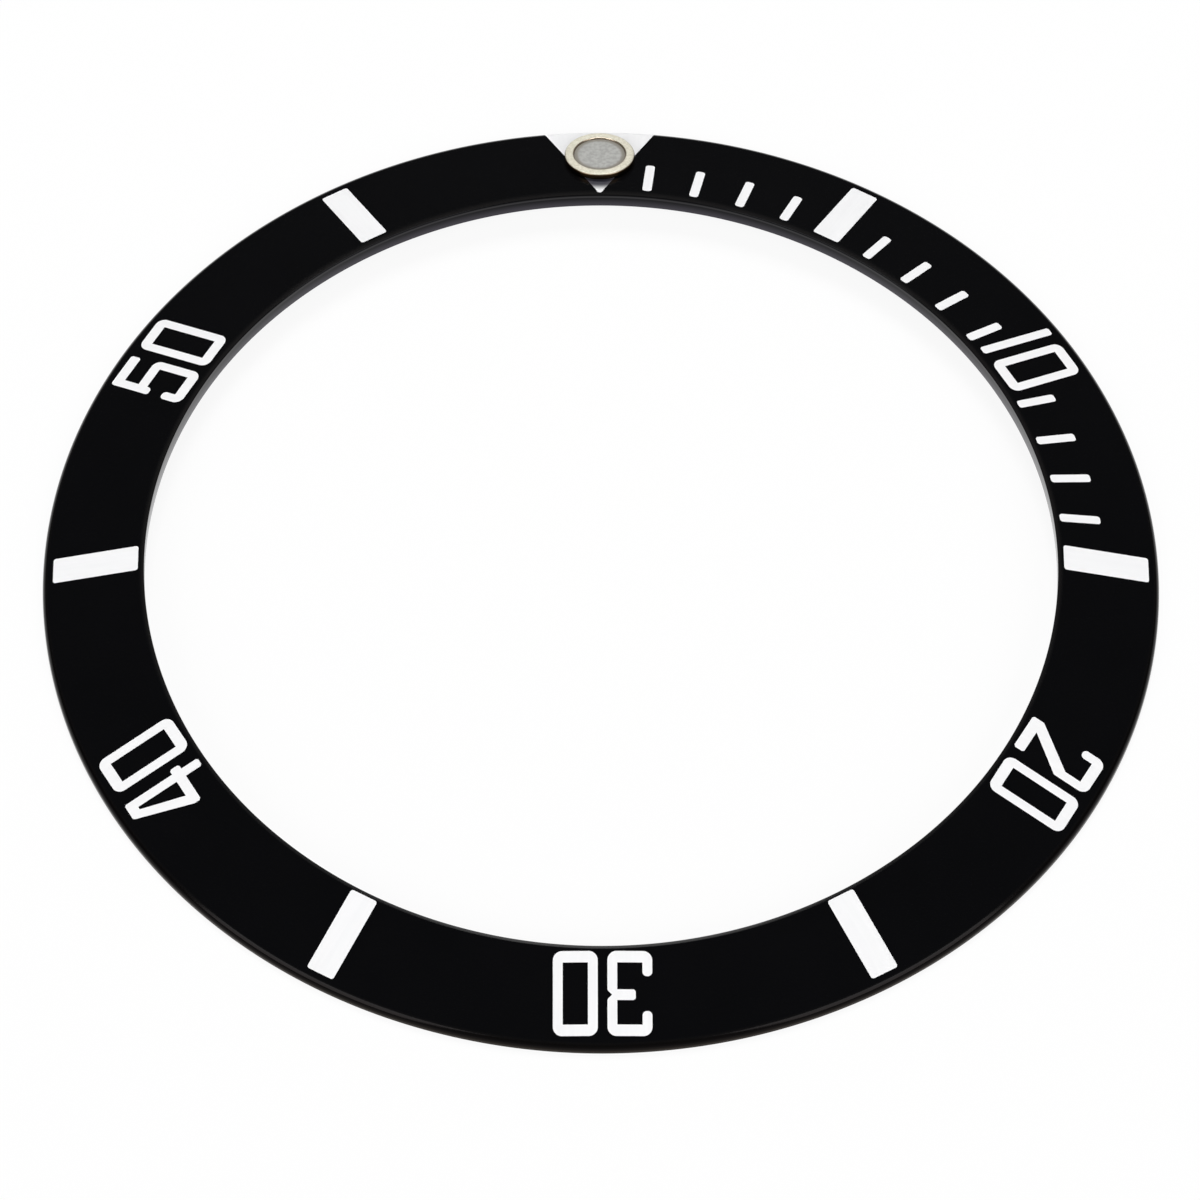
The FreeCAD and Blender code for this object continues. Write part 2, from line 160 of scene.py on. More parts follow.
# Colours, as linear red, green and blue
DYE_DARK = (0.0017, 0.0018, 0.0022)
DYE_PALE = (0.0027, 0.0027, 0.0033)
BEVEL_DYE = (0.009, 0.0085, 0.0085)
# Painted light on the opening's wall: dark at the top, pale towards the foot, and a painted highlight
# line
WALL_DARK = (0.007, 0.007, 0.008)
WALL_PALE = (0.047, 0.044, 0.054)
WALL_PAINTED_HIGHLIGHT = (0.034, 0.033, 0.035)
RIM_DARK = (0.009, 0.008, 0.008)
RIM_WORN = (0.038, 0.030, 0.023)
ENAMEL_DARK = (0.89, 0.89, 0.90)
ENAMEL_PALE = (0.95, 0.95, 0.955)
# Painted shade on the fill round the pearl's flange
PAINTED_SHADE_COLOUR = (0.03, 0.03, 0.045)
PLATING_DARK = (0.60, 0.57, 0.455)
PLATING_PALE = (0.74, 0.71, 0.60)
# Painted shade on the cup: brown inside its mouth and well, dark brown on its side and underside
CUP_MOUTH_PAINTED_SHADE = (0.50, 0.42, 0.33)
CUP_SIDE_PAINTED_SHADE = (0.10, 0.06, 0.03)
PASTE_DARK = (0.34, 0.34, 0.325)
PASTE_PALE = (0.58, 0.58, 0.565)
PASTE_SPECK = (0.76, 0.77, 0.745)
# Painted shade at the paste's edge by the cup's mouth
PASTE_PAINTED_SHADE = (0.42, 0.38, 0.33)
WINDOW_DARK = (0.51, 0.51, 0.487)
WINDOW_PALE = (0.64, 0.64, 0.615)
# Painted shade round the window's edge
WINDOW_EDGE_SHADE = (0.37, 0.345, 0.30)

# Floor, just clear of the foot. The glow is the share of plain white that is seen in it
FLOOR_GAP = 0.01
FLOOR_REACH = 2000.0
FLOOR_WHITE = (0.92, 0.92, 0.92)
FLOOR_GLOW = 0.90

# Surroundings, as levels of white. They are dimmest towards the far side, high up, and brighten
# with the cosine of the angle from there
DIM_AZIMUTH = 180
DIM_ELEVATION = 55
DIM_COSINE = 0.95
DIM_LEVEL = 0.07
BRIGHT_COSINE = -0.8
BRIGHT_LEVEL = 0.8

# Lamps stand this many metres from the ring
LAMP_DISTANCE = 0.5

# Camera, fitted to the edges and the scale marks of the photo. It clips nearer than this many metres
IMAGE_SIDE = 1200
FOCAL_PIXELS = 8551.5
SENSOR_WIDTH = 36.0
CAMERA_DISTANCE = 287.755
CAMERA_AIM = Vector((-0.036, -0.902, 0.0))
CAMERA_ELEVATION = math.radians(55.404)
CAMERA_AZIMUTH = math.radians(-0.393)
CAMERA_ROLL = math.radians(0.278)
CLIP_START = 0.01


# Meshes


def face_height(radius):
    """Height of the leaning face at this radius."""
    return RIM_HEIGHT + (OUTER_RADIUS - radius) * math.tan(LEAN)


def rounded_outline(corners):
    """Replaces each (across, up, radius) corner by an arc that touches both of its sides."""
    outline = []
    for k, (x, y, radius) in enumerate(corners):
        corner = Vector((x, y))
        if radius == 0:
            outline.append(corner)
            continue
        before = (Vector(corners[k - 1][:2]) - corner).normalized()
        after = (Vector(corners[(k + 1) % len(corners)][:2]) - corner).normalized()
        half_angle = before.angle(after) / 2
        centre = corner + (before + after).normalized() * (radius / math.sin(half_angle))
        start = corner + before * (radius / math.tan(half_angle)) - centre
        end = corner + after * (radius / math.tan(half_angle)) - centre
        sweep = start.angle_signed(end)
        count = max(2, math.ceil(abs(sweep) / ARC_STEP))
        for number in range(count + 1):
            turn = Matrix.Rotation(-sweep * number / count, 2)
            outline.append(centre + turn @ start)
    return outline


def mesh_object(name, shape, place=None):
    """An object from a bmesh in millimetres, moved to its place in the part's frame."""
    if place is not None:
        bmesh.ops.transform(shape, matrix=place, verts=shape.verts)
    bmesh.ops.scale(shape, vec=(MILLIMETRE, MILLIMETRE, MILLIMETRE), verts=shape.verts)
    bmesh.ops.recalc_face_normals(shape, faces=shape.faces)
    mesh = bpy.data.meshes.new(name)
    shape.to_mesh(mesh)
    shape.free()
    piece = bpy.data.objects.new(name, mesh)
    bpy.context.scene.collection.objects.link(piece)
    return piece


def turned(name, outline, steps, place=None):
    """A closed mesh turned about Z from (radius, height) points."""
    shape = bmesh.new()
    rings = []
    for radius, height in outline:
        count = steps if radius > TINY else 1
        ring = []
        for k in range(count):
            angle = math.tau * k / count
            ring.append(shape.verts.new((radius * math.sin(angle), radius * math.cos(angle), height)))
        rings.append(ring)
    for lower, upper in zip(rings, rings[1:] + rings[:1]):
        for k in range(steps):
            around = [lower[k % len(lower)], lower[(k + 1) % len(lower)]]
            around += [upper[(k + 1) % len(upper)], upper[k % len(upper)]]
            corners = list(dict.fromkeys(around))
            if len(corners) > 2:
                shape.faces.new(corners)
    return mesh_object(name, shape, place)


def smooth_shading(piece):
    """Shades the piece smoothly between its sharp edges and keeps its flat faces flat."""
    mesh = piece.data
    mesh.polygons.foreach_set("use_smooth", [True] * len(mesh.polygons))
    mesh.set_sharp_from_angle(angle=SHARP_ANGLE)
    weights = piece.modifiers.new("Flat faces stay flat", "WEIGHTED_NORMAL")
    weights.keep_sharp = True


def carve(piece, operation, tool):
    """Cuts the piece by the tool, or keeps what they share, and leaves a plain mesh."""
    cut = piece.modifiers.new("Cut", "BOOLEAN")
    cut.operation = operation
    cut.object = tool
    cut.solver = "EXACT"
    graph = bpy.context.evaluated_depsgraph_get()
    result = bpy.data.meshes.new_from_object(piece.evaluated_get(graph))
    piece.modifiers.clear()
    piece.data = result


def discard(*objects):
    """Removes tools that have done their work."""
    for item in objects:
        bpy.data.objects.remove(item)


# Ring and scale


def ring_blank(name):
    """The ring before its recesses are cut."""
    foot_start = INNER_RADIUS + WALL_FOOT / math.tan(LEAN)
    outline = rounded_outline([
        (foot_start, 0.0, 0.0),
        (OUTER_RADIUS, 0.0, FOOT_ROUND),
        (OUTER_RADIUS, RIM_HEIGHT, RIM_ROUND),
        (BEVEL_EDGE, face_height(BEVEL_EDGE), 0.0),
        (INNER_RADIUS, LIP_HEIGHT, LIP_ROUND),
        (INNER_RADIUS, WALL_FOOT, FOOT_ROUND),
    ])
    return turned(name, outline, RING_STEPS)


def mark_rungs(end, corner):
    """(place outwards, distance from the straight sides) along a mark, with its corners rounded."""
    angles = [math.pi / 2 * k / CORNER_STEPS for k in range(CORNER_STEPS + 1)]
    inner = []
    for angle in angles:
        inner.append((SCALE_START + corner * (1 - math.cos(angle)), corner * (1 - math.sin(angle))))
    outer = [(SCALE_START + end - place, inset) for place, inset in reversed(inner)]
    return inner + outer


def mark_layer(shape, rungs, width, drop):
    """Rows of vertices across a mark, at this drop below the face, with faces between them."""
    rows = []
    for place, inset in rungs:
        half = width / 2 - inset
        row = []
        for k in range(MARK_COLUMNS + 1):
            across = half * (2 * k / MARK_COLUMNS - 1)
            height = face_height(math.hypot(across, place)) - drop
            row.append(shape.verts.new((across, place, height)))
        rows.append(row)
    for row, following in zip(rows, rows[1:]):
        for k in range(MARK_COLUMNS):
            shape.faces.new((row[k], row[k + 1], following[k + 1], following[k]))
    return rows


def mark_edge(rows):
    """The vertices round a layer, in order."""
    right = [row[-1] for row in rows[1:-1]]
    left = [row[0] for row in rows[1:-1]]
    return rows[0] + right + rows[-1][::-1] + left[::-1]


def mark_fill(name, minute, rungs, width):
    """The fill of a bar or minute line at this minute, flush with the face and as deep as its recess."""
    shape = bmesh.new()
    floor = mark_edge(mark_layer(shape, rungs, width, FILL_DEPTH))
    top = mark_edge(mark_layer(shape, rungs, width, 0.0))
    for k in range(len(floor)):
        following = (k + 1) % len(floor)
        shape.faces.new((floor[k], floor[following], top[following], top[k]))
    return mesh_object(name, shape, Matrix.Rotation(-math.tau * minute / 60, 4, "Z"))


def build_marks(nodes):
    """(fill, name of its node) for every bar and minute line of the frame."""
    kinds = {
        "bar_inlay": (mark_rungs(SCALE_END, BAR_CORNER), BAR_WIDTH),
        "minute_inlay": (mark_rungs(SCALE_START + LINE_LENGTH, LINE_CORNER), LINE_WIDTH),
    }
    marks = []
    for node in nodes:
        kind, _, minute = node.rpartition("_")
        if kind in kinds:
            rungs, width = kinds[kind]
            fill = mark_fill(node.replace("inlay", "fill"), int(minute), rungs, width)
            marks.append((fill, node))
    return marks


def recess_cutters(fills):
    """The solids of these fills in one mesh, each with its top lifted clear of the face."""
    shape = bmesh.new()
    for fill in fills:
        mesh = fill.data.copy()
        if "custom_normal" in mesh.attributes:
            mesh.attributes.remove(mesh.attributes["custom_normal"])
        shape.from_mesh(mesh)
        bpy.data.meshes.remove(mesh)
    bmesh.ops.remove_doubles(shape, verts=shape.verts, dist=TINY * MILLIMETRE)
    bmesh.ops.scale(shape, vec=Vector((1, 1, 1)) / MILLIMETRE, verts=shape.verts)
    for vertex in shape.verts:
        x, y, z = vertex.co
        if face_height(math.hypot(x, y)) - z < FILL_DEPTH / 2:
            vertex.co.z += CUTTER_LIFT
    return mesh_object("Recess cutters", shape)


def triangle_outline():
    """(x, y) places round the triangle: its rounded tip, then its base from right to left."""
    sweep = math.pi / 2 - TRIANGLE_HALF_ANGLE
    count = 2 * CORNER_STEPS
    turns = [sweep * k / count - math.pi / 2 for k in range(-count, count + 1)]
    centre = TRIANGLE_TIP + TRIANGLE_ROUND / math.sin(TRIANGLE_HALF_ANGLE)
    tip = [(TRIANGLE_ROUND * math.cos(a), centre + TRIANGLE_ROUND * math.sin(a)) for a in turns]
    spread = (TRIANGLE_BASE - TRIANGLE_TIP) * math.tan(TRIANGLE_HALF_ANGLE)
    across = [spread * (1 - 2 * k / TRIANGLE_STRIPS) for k in range(TRIANGLE_STRIPS + 1)]
    return tip + [(x, TRIANGLE_BASE) for x in across]


def triangle_cutter():
    """The triangle's recess, open through the rim, on a floor that runs parallel to the face."""
    shape = bmesh.new()
    places = triangle_outline()
    floor = []
    for x, y in places:
        floor.append(shape.verts.new((x, y, face_height(math.hypot(x, y)) - FILL_DEPTH)))
    top = [shape.verts.new((x, y, CROWN + CUTTER_LIFT)) for x, y in places]
    count = len(places)
    for k in range(1, count - 1):
        shape.faces.new((floor[0], floor[k], floor[k + 1]))
    shape.faces.new(top)
    for k in range(count):
        following = (k + 1) % count
        shape.faces.new((floor[k], floor[following], top[following], top[k]))
    return mesh_object("Triangle cutter", shape)


def pearl_place():
    """From the pearl's own frame to the part's frame."""
    centre = Vector((0.0, PEARL_RADIUS, face_height(PEARL_RADIUS)))
    return Matrix.Translation(centre) @ Matrix.Rotation(-LEAN, 4, "X")


def hole_cutter():
    """A column through the ring where the pearl's stem stands."""
    outline = [
        (0.0, -HOLE_REACH),
        (HOLE_RADIUS, -HOLE_REACH),
        (HOLE_RADIUS, HOLE_REACH),
        (0.0, HOLE_REACH),
    ]
    return turned("Hole cutter", outline, PEARL_STEPS, pearl_place())


def build_ring(fills):
    """The ring with its recesses and hole, and the triangle's fill, both with a smooth rim."""
    ring = ring_blank("ring_body")
    triangle = ring_blank("triangle_fill")
    recesses = recess_cutters(fills)
    wedge = triangle_cutter()
    hole = hole_cutter()
    for tool in (recesses, wedge, hole):
        carve(ring, "DIFFERENCE", tool)
    carve(triangle, "INTERSECT", wedge)
    carve(triangle, "DIFFERENCE", hole)
    discard(recesses, wedge, hole)
    return ring, triangle


# Pearl


def build_cup():
    """The metal cup: a stem in the ring's hole, a flange on the face and a mouth with a well."""
    outline = rounded_outline([
        (0.0, STEM_FOOT, 0.0),
        (STEM_RADIUS, STEM_FOOT, FOOT_ROUND),
        (STEM_RADIUS, 0.0, 0.0),
        (FLANGE_RADIUS, 0.0, FLANGE_UNDERCUT),
        (FLANGE_RADIUS, FLANGE_TOP, FLANGE_ROUND),
        (MOUTH_RADIUS, FLANGE_TOP, MOUTH_ROUND),
        (MOUTH_RADIUS, LEDGE, 0.0),
        (WELL_RADIUS, LEDGE, 0.0),
        (WELL_RADIUS, WELL_FLOOR, 0.0),
        (0.0, WELL_FLOOR, 0.0),
    ])
    return turned("pearl_cup", outline, PEARL_STEPS, pearl_place())


def build_pellet():
    """The luminous pellet, which fills the cup up to the window."""
    outline = [
        (0.0, WELL_FLOOR),
        (WELL_RADIUS, WELL_FLOOR),
        (WELL_RADIUS, LEDGE),
        (MOUTH_RADIUS, LEDGE),
        (MOUTH_RADIUS, LENS_FOOT),
        (0.0, LENS_FOOT),
    ]
    return turned("pearl_pellet", outline, PEARL_STEPS, pearl_place())


def build_window():
    """The clear disc that closes the cup."""
    outline = rounded_outline([
        (0.0, LENS_FOOT, 0.0),
        (LENS_RADIUS, LENS_FOOT, 0.0),
        (LENS_RADIUS, LENS_TOP, LENS_ROUND),
        (0.0, LENS_TOP, 0.0),
    ])
    return turned("pearl_window", outline, PEARL_STEPS, pearl_place())


# Materials


class Finish:
    """One material's nodes, with short calls for those that the finishes share."""

    def __init__(self, name):
        self.material = bpy.data.materials.new(name)
        self.material.use_nodes = True
        self.nodes = self.material.node_tree.nodes
        self.links = self.material.node_tree.links
        self.shader = self.nodes["Principled BSDF"]
        coordinates = self.nodes.new("ShaderNodeTexCoord")
        self.place = self.scaled(coordinates.outputs["Object"], 1 / MILLIMETRE)

    def put(self, socket, value):
        """Links a socket's value, or sets a constant one."""
        if isinstance(value, bpy.types.NodeSocket):
            self.links.new(value, socket)
        else:
            socket.default_value = value

    def vector_math(self, operation, *values):
        node = self.nodes.new("ShaderNodeVectorMath")
        node.operation = operation
        for socket, value in zip(node.inputs, values):
            self.put(socket, value)
        return node.outputs["Vector"]

    def scaled(self, vector, factor):
        result = self.vector_math("SCALE", vector)
        result.node.inputs["Scale"].default_value = factor
        return result

    def flat(self, place):
        """The place without its height."""
        return self.vector_math("MULTIPLY", place, (1, 1, 0))

    def outwards(self, place):
        """Unit vector away from the axis."""
        return self.vector_math("NORMALIZE", self.flat(place))

    def radius(self, place):
        """Distance from the axis."""
        node = self.nodes.new("ShaderNodeVectorMath")
        node.operation = "LENGTH"
        self.put(node.inputs[0], self.flat(place))
        return node.outputs["Value"]

    def height(self, place):
        """Height above the foot, or above the face if the place is in the pearl's frame."""
        node = self.nodes.new("ShaderNodeSeparateXYZ")
        self.put(node.inputs[0], place)
        return node.outputs["Z"]

    def place_in_pearl(self):
        """The shaded place in the pearl's own frame."""
        to_pearl = pearl_place().inverted()
        mapping = self.nodes.new("ShaderNodeMapping")
        self.put(mapping.inputs["Vector"], self.place)
        mapping.inputs["Location"].default_value = to_pearl.translation
        mapping.inputs["Rotation"].default_value = to_pearl.to_euler()
        return mapping.outputs["Vector"]

    def number_math(self, operation, *values):
        node = self.nodes.new("ShaderNodeMath")
        node.operation = operation
        for socket, value in zip(node.inputs, values):
            self.put(socket, value)
        return node.outputs[0]

    def ramp(self, value, start, end, low=0.0, high=1.0):
        """Goes smoothly from low to high while value goes from start to end."""
        node = self.nodes.new("ShaderNodeMapRange")
        node.interpolation_type = "SMOOTHSTEP"
        for socket, setting in zip(node.inputs, (value, start, end, low, high)):
            self.put(socket, setting)
        return node.outputs["Result"]

    def noise(self, vector, scale, detail):
        node = self.nodes.new("ShaderNodeTexNoise")
        self.put(node.inputs["Vector"], vector)
        node.inputs["Scale"].default_value = scale
        node.inputs["Detail"].default_value = detail
        return node.outputs["Fac"]

    def blend(self, factor, first, second):
        """A colour between the first, at factor 0, and the second, at factor 1."""
        node = self.nodes.new("ShaderNodeMix")
        node.data_type = "RGBA"
        for name, value in (("Factor_Float", factor), ("A_Color", first), ("B_Color", second)):
            socket = next(item for item in node.inputs if item.identifier == name)
            self.put(socket, (*value, 1.0) if isinstance(value, tuple) else value)
        return next(item for item in node.outputs if item.identifier == "Result_Color")

    def shade(self, name, value):
        """Gives the shader's socket of this name a number or what a node gives out."""
        self.put(self.shader.inputs[name], value)

    def bump(self, height, distance):
        """Raises the surface by height times distance, which is in millimetres."""
        node = self.nodes.new("ShaderNodeBump")
        node.inputs["Strength"].default_value = 1.0
        node.inputs["Distance"].default_value = distance * MILLIMETRE
        self.put(node.inputs["Height"], height)
        self.shade("Normal", node.outputs["Normal"])


def wall_painted_light(finish):
    """Opening's wall: painted light, darker at the top and paler towards the foot, with a painted
    highlight line.
    """
    height = finish.height(finish.place)
    low = finish.ramp(height, WALL_DARK_ABOVE, WALL_PALE_BELOW)
    above_line = finish.ramp(height, WALL_LINE + WALL_LINE_REACH, WALL_LINE + WALL_LINE_CORE)
    below_line = finish.ramp(height, WALL_LINE - WALL_LINE_REACH, WALL_LINE - WALL_LINE_CORE)
    on_line = finish.number_math("MULTIPLY", above_line, below_line)
    return finish.blend(on_line, finish.blend(low, WALL_DARK, WALL_PALE), WALL_PAINTED_HIGHLIGHT)


def rim_dye(finish, grain):
    """Colour of the rim, which is worn towards its foot."""
    low = finish.ramp(finish.height(finish.place), WORN_RIM_HEIGHT, 0.0)
    patches = finish.ramp(grain, 0.3, 0.7, low=0.6, high=1.0)
    return finish.blend(finish.number_math("MULTIPLY", low, patches), RIM_DARK, RIM_WORN)


def black_dye():
    """Glossy black dye on metal, thinner on the rim and the opening's bevel, with painted light on the
    opening's wall.
    """
    finish = Finish("Black dye")
    radius = finish.radius(finish.place)
    cloud = finish.noise(finish.place, scale=0.35, detail=3.0)
    grain = finish.noise(finish.place, scale=22.0, detail=3.0)
    towards_lip = finish.ramp(radius, BEVEL_EDGE, BEVEL_DYE_END)
    in_opening = finish.ramp(radius, BEVEL_DYE_END, WALL_LIGHT_START)
    face_end = OUTER_RADIUS - 0.7 * RIM_ROUND
    rim_start = OUTER_RADIUS - 0.3 * RIM_ROUND
    on_rim = finish.ramp(radius, face_end, rim_start)
    colour = finish.blend(cloud, DYE_DARK, DYE_PALE)
    colour = finish.blend(towards_lip, colour, BEVEL_DYE)
    # Painted light on the opening's wall
    colour = finish.blend(in_opening, colour, wall_painted_light(finish))
    colour = finish.blend(on_rim, colour, rim_dye(finish, grain))
    finish.shade("Base Color", colour)
    finish.shade("Metallic", finish.number_math("MAXIMUM", in_opening, on_rim))
    finish.shade("Roughness", finish.ramp(grain, 0.25, 0.75, low=0.10, high=0.18))
    finish.shade("Specular IOR Level", 0.20)
    finish.bump(grain, 0.0006)
    return finish.material


def scale_enamel():
    """Silver-white fill with faint streaks along the radius, and painted shade round the pearl's flange.
    """
    finish = Finish("Scale fill")
    around = finish.scaled(finish.outwards(finish.place), OUTER_RADIUS)
    along = finish.scaled(finish.place, STREAK_STRETCH)
    streak = finish.noise(finish.vector_math("ADD", around, along), scale=9.0, detail=3.0)
    grain = finish.noise(finish.place, scale=30.0, detail=2.0)
    clean = finish.blend(streak, ENAMEL_DARK, ENAMEL_PALE)
    # Painted shade round the pearl's flange, on the side towards the opening
    distance = finish.radius(finish.place_in_pearl())
    near_pearl = finish.ramp(distance, PAINTED_SHADE_END, PAINTED_SHADE_START)
    inwards = finish.ramp(finish.radius(finish.place), PEARL_RADIUS, PEARL_RADIUS - FLANGE_RADIUS)
    painted_shade = finish.number_math("MULTIPLY", inwards, near_pearl)
    finish.shade("Base Color", finish.blend(painted_shade, clean, PAINTED_SHADE_COLOUR))
    finish.shade("Roughness", finish.ramp(streak, 0.3, 0.7, low=0.34, high=0.48))
    finish.bump(finish.number_math("ADD", streak, grain), 0.001)
    return finish.material


def pearl_metal():
    """Cream plated metal with turning lines, and brown painted shade on its side and where it holds the
    window.
    """
    finish = Finish("Pearl metal")
    place = finish.place_in_pearl()
    distance = finish.radius(place)
    lines = finish.number_math("SINE", finish.number_math("MULTIPLY", distance, TURNING_RATE))
    grain = finish.noise(finish.place, scale=14.0, detail=3.0)
    side_end = FLANGE_TOP - 0.6 * FLANGE_ROUND
    top_start = FLANGE_TOP - 0.1 * FLANGE_ROUND
    above_side = finish.ramp(finish.height(place), side_end, top_start)
    outside_mouth = finish.ramp(distance, MOUTH_RADIUS, MOUTH_RADIUS + 2.0 * MOUTH_ROUND)
    on_top = finish.number_math("MULTIPLY", above_side, outside_mouth)
    top = finish.blend(finish.ramp(grain, 0.3, 0.7), PLATING_DARK, PLATING_PALE)
    # Painted shade off the flange's top: brown inside the mouth, dark brown outside it
    rest = finish.blend(outside_mouth, CUP_MOUTH_PAINTED_SHADE, CUP_SIDE_PAINTED_SHADE)
    finish.shade("Base Color", finish.blend(on_top, rest, top))
    finish.shade("Metallic", finish.ramp(on_top, 0.0, 1.0, low=1.0, high=0.35))
    finish.shade("Roughness", finish.ramp(on_top, 0.0, 1.0, low=0.22, high=0.5))
    finish.bump(finish.number_math("ADD", lines, grain), 0.0008)
    return finish.material


def luminous_paste():
    """Pale, clouded and speckled paste, with painted shade darkening it towards the cup's mouth."""
    finish = Finish("Luminous paste")
    cloud = finish.noise(finish.place, scale=4.0, detail=3.0)
    speck = finish.noise(finish.place, scale=13.0, detail=2.0)
    distance = finish.radius(finish.place_in_pearl())
    # Painted shade towards the cup's mouth
    shaded = finish.ramp(distance, PASTE_EDGE_START, PASTE_EDGE_END)
    colour = finish.blend(finish.ramp(cloud, 0.35, 0.65), PASTE_DARK, PASTE_PALE)
    colour = finish.blend(finish.ramp(speck, 0.45, 0.70), colour, PASTE_SPECK)
    finish.shade("Base Color", finish.blend(shaded, colour, PASTE_PAINTED_SHADE))
    finish.shade("Roughness", 0.8)
    finish.bump(cloud, 0.004)
    return finish.material


def pearl_glass():
    """Milky, faintly mottled window with a band of brown painted shade round its edge, where it meets
    the cup.
    """
    finish = Finish("Pearl window")
    smear = finish.noise(finish.place, scale=2.5, detail=2.0)
    mottle = finish.noise(finish.place, scale=7.0, detail=3.0)
    distance = finish.radius(finish.place_in_pearl())
    # Painted shade round the window's edge, where it meets the cup
    edge_shade = finish.ramp(distance, WINDOW_SHADE_START, WINDOW_SHADE_END)
    milky = finish.blend(finish.ramp(mottle, 0.35, 0.65), WINDOW_DARK, WINDOW_PALE)
    finish.shade("Base Color", finish.blend(edge_shade, milky, WINDOW_EDGE_SHADE))
    finish.shade("Roughness", finish.ramp(smear, 0.3, 0.7, low=0.08, high=0.18))
    finish.shade("Alpha", WINDOW_ALPHA)
    finish.bump(smear, 0.004)
    return finish.material


def dress(piece, material):
    """Puts the material on the object's own slot, which leaves a shared mesh alone."""
    if not piece.material_slots:
        piece.data.materials.append(material)
    for slot in piece.material_slots:
        slot.link = "OBJECT"
        slot.material = material


# Stage


def direction(azimuth, elevation):
    """Unit vector towards a place seen from the object. Azimuth 0 is the camera's side, and 90 is +X."""
    a = math.radians(azimuth)
    e = math.radians(elevation)
    return Vector((math.cos(e) * math.sin(a), -math.cos(e) * math.cos(a), math.sin(e)))


def softbox(name, azimuth, elevation, width, level):
    """A square lamp that by itself lights a white surface turned towards it to this level of white."""
    light = bpy.data.lights.new(name, "AREA")
    light.shape = "SQUARE"
    light.size = width
    light.energy = level * math.pi ** 2 * LAMP_DISTANCE ** 2
    lamp = bpy.data.objects.new(name, light)
    towards = direction(azimuth, elevation)
    lamp.location = towards * LAMP_DISTANCE
    lamp.rotation_euler = towards.to_track_quat("Z", "Y").to_euler()
    bpy.context.scene.collection.objects.link(lamp)


def add_lights():
    """One lamp on the far side and a wider pair at the camera's left and right."""
    softbox("Back", azimuth=180, elevation=52, width=0.20, level=0.65)
    softbox("Left", azimuth=-50, elevation=34, width=0.34, level=0.41)
    softbox("Right", azimuth=50, elevation=34, width=0.34, level=0.41)


def camera_sees(nodes, links):
    """1 for what the camera, a reflection or a window shows, and 0 for light on its way to a surface."""
    path = nodes.new("ShaderNodeLightPath")
    seen = path.outputs["Is Camera Ray"]
    for name in ("Is Glossy Ray", "Is Transmission Ray"):
        either = nodes.new("ShaderNodeMath")
        either.operation = "MAXIMUM"
        links.new(seen, either.inputs[0])
        links.new(path.outputs[name], either.inputs[1])
        seen = either.outputs[0]
    return seen


def floor_white():
    """Mostly plain white where it is seen, and a white surface for the light that falls on it."""
    material = bpy.data.materials.new("Floor")
    material.use_nodes = True
    nodes = material.node_tree.nodes
    links = material.node_tree.links
    nodes.clear()
    surface = nodes.new("ShaderNodeBsdfDiffuse")
    surface.inputs["Color"].default_value = (*FLOOR_WHITE, 1.0)
    glow = nodes.new("ShaderNodeEmission")
    share = nodes.new("ShaderNodeMath")
    share.operation = "MULTIPLY"
    share.inputs[1].default_value = FLOOR_GLOW
    links.new(camera_sees(nodes, links), share.inputs[0])
    blend = nodes.new("ShaderNodeMixShader")
    links.new(share.outputs[0], blend.inputs["Fac"])
    links.new(surface.outputs[0], blend.inputs[1])
    links.new(glow.outputs[0], blend.inputs[2])
    output = nodes.new("ShaderNodeOutputMaterial")
    links.new(blend.outputs[0], output.inputs["Surface"])
    return material


def add_floor():
    """A white floor that reads as the photo's white background and still takes a faint shadow."""
    shape = bmesh.new()
    corners = [
        (-FLOOR_REACH, -FLOOR_REACH, -FLOOR_GAP),
        (FLOOR_REACH, -FLOOR_REACH, -FLOOR_GAP),
        (FLOOR_REACH, FLOOR_REACH, -FLOOR_GAP),
        (-FLOOR_REACH, FLOOR_REACH, -FLOOR_GAP),
    ]
    shape.faces.new([shape.verts.new(corner) for corner in corners])
    floor = mesh_object("floor", shape)
    floor.data.materials.append(floor_white())


def add_world():
    """Soft surroundings, dim where the face mirrors them. The camera itself sees plain white."""
    world = bpy.data.worlds.new("Studio")
    bpy.context.scene.world = world
    world.use_nodes = True
    nodes = world.node_tree.nodes
    links = world.node_tree.links
    nodes.clear()
    coordinates = nodes.new("ShaderNodeTexCoord")
    cosine = nodes.new("ShaderNodeVectorMath")
    cosine.operation = "DOT_PRODUCT"
    links.new(coordinates.outputs["Generated"], cosine.inputs[0])
    cosine.inputs[1].default_value = direction(DIM_AZIMUTH, DIM_ELEVATION)
    level = nodes.new("ShaderNodeMapRange")
    level.interpolation_type = "SMOOTHSTEP"
    links.new(cosine.outputs["Value"], level.inputs["Value"])
    level.inputs["From Min"].default_value = BRIGHT_COSINE
    level.inputs["From Max"].default_value = DIM_COSINE
    level.inputs["To Min"].default_value = BRIGHT_LEVEL
    level.inputs["To Max"].default_value = DIM_LEVEL
    soft = nodes.new("ShaderNodeBackground")
    links.new(level.outputs["Result"], soft.inputs["Strength"])
    white = nodes.new("ShaderNodeBackground")
    path = nodes.new("ShaderNodeLightPath")
    blend = nodes.new("ShaderNodeMixShader")
    links.new(path.outputs["Is Camera Ray"], blend.inputs["Fac"])
    links.new(soft.outputs[0], blend.inputs[1])
    links.new(white.outputs[0], blend.inputs[2])
    output = nodes.new("ShaderNodeOutputWorld")
    links.new(blend.outputs[0], output.inputs["Surface"])


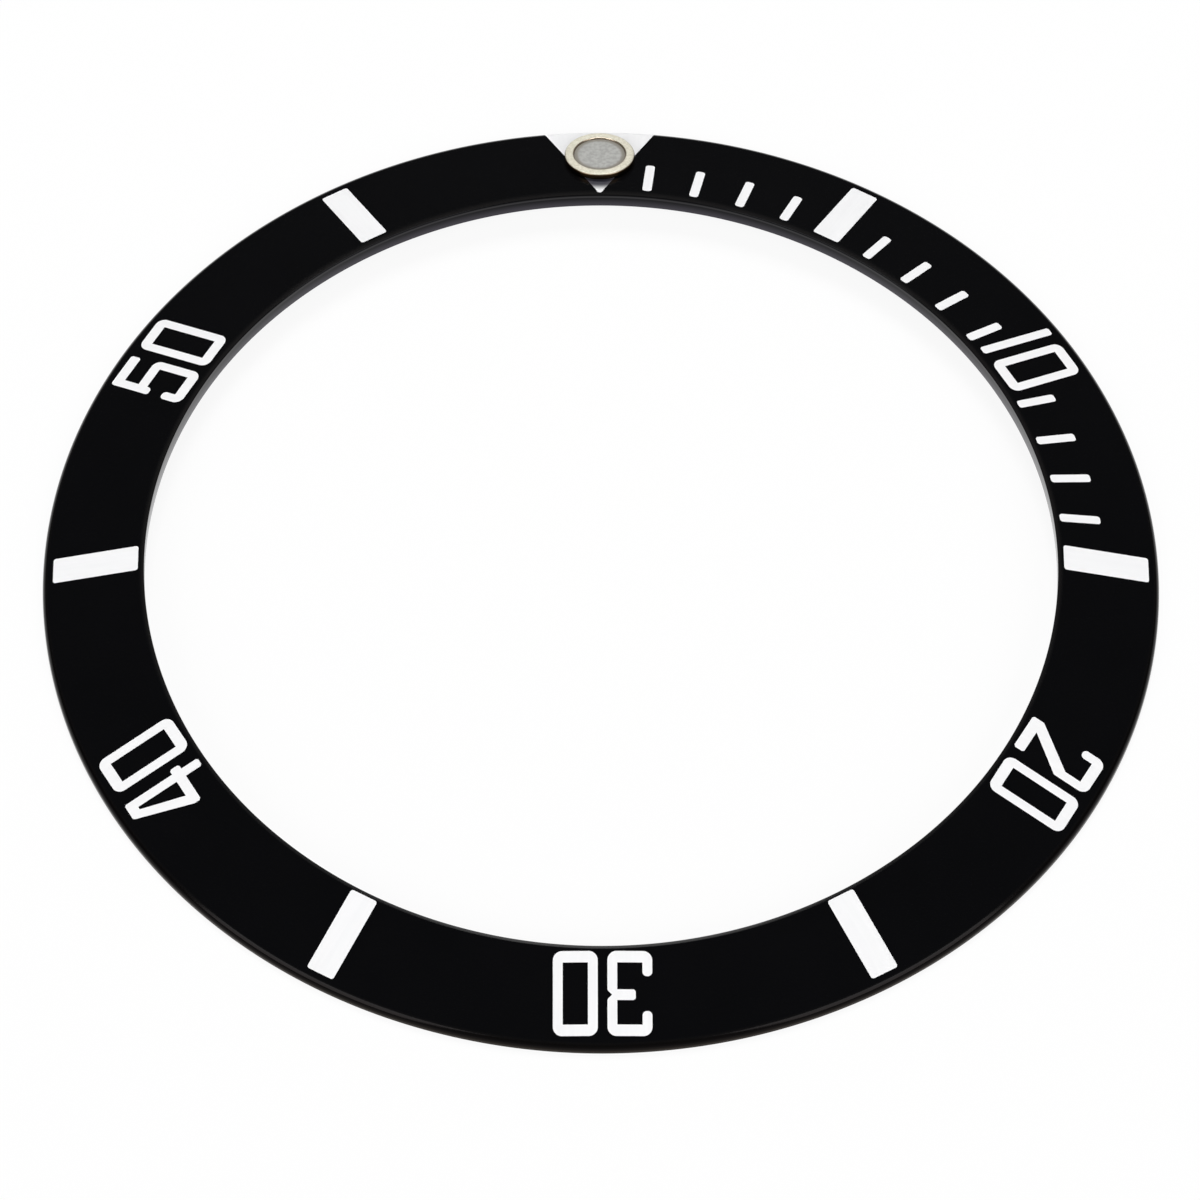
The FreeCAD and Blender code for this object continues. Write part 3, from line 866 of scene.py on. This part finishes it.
def add_camera():
    """The camera of the photo."""
    data = bpy.data.cameras.new("Camera")
    data.sensor_width = SENSOR_WIDTH
    data.lens = FOCAL_PIXELS / IMAGE_SIDE * SENSOR_WIDTH
    data.clip_start = CLIP_START
    camera = bpy.data.objects.new("Camera", data)
    back = Vector((
        math.cos(CAMERA_ELEVATION) * math.sin(CAMERA_AZIMUTH),
        -math.cos(CAMERA_ELEVATION) * math.cos(CAMERA_AZIMUTH),
        math.sin(CAMERA_ELEVATION),
    ))
    right = Vector((math.cos(CAMERA_AZIMUTH), math.sin(CAMERA_AZIMUTH), 0.0))
    place = (CAMERA_AIM + back * CAMERA_DISTANCE) * MILLIMETRE
    turn = Matrix((right, back.cross(right), back)).transposed().to_4x4()
    camera.matrix_world = Matrix.Translation(place) @ turn @ Matrix.Rotation(CAMERA_ROLL, 4, "Z")
    bpy.context.scene.collection.objects.link(camera)
    bpy.context.scene.camera = camera


# The scene

for item in list(bpy.data.objects):
    bpy.data.objects.remove(item)

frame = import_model()
nodes = frame["nodes"]

marks = build_marks(nodes)
mark_fills = [fill for fill, node in marks]
numerals = [piece for node, piece in nodes.items() if node.startswith("numeral")]
ring, triangle = build_ring(mark_fills + numerals)
cup = build_cup()
pellet = build_pellet()
window = build_window()
for piece in (ring, triangle, cup, window, *mark_fills):
    smooth_shading(piece)

dye = black_dye()
enamel = scale_enamel()
metal = pearl_metal()
paste = luminous_paste()
glass = pearl_glass()
dressed = [
    (ring, "insert_ring", "dyed_ring", dye),
    (triangle, "triangle_inlay", "scale_fill", enamel),
    (cup, "pearl_capsule", "capsule_metal", metal),
    (pellet, "pearl_lume", "luminous_paste", paste),
    (window, "pearl_lens", "pearl_glass", glass),
]
dressed += [(fill, node, "scale_fill", enamel) for fill, node in marks]
for piece, node, slot, material in dressed:
    dress(piece, material)
    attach(piece, "root")
    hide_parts(node)
for numeral in numerals:
    dress(numeral, enamel)

add_floor()
add_world()
add_lights()
add_camera()
scene = bpy.context.scene
scene.view_settings.view_transform = "Standard"
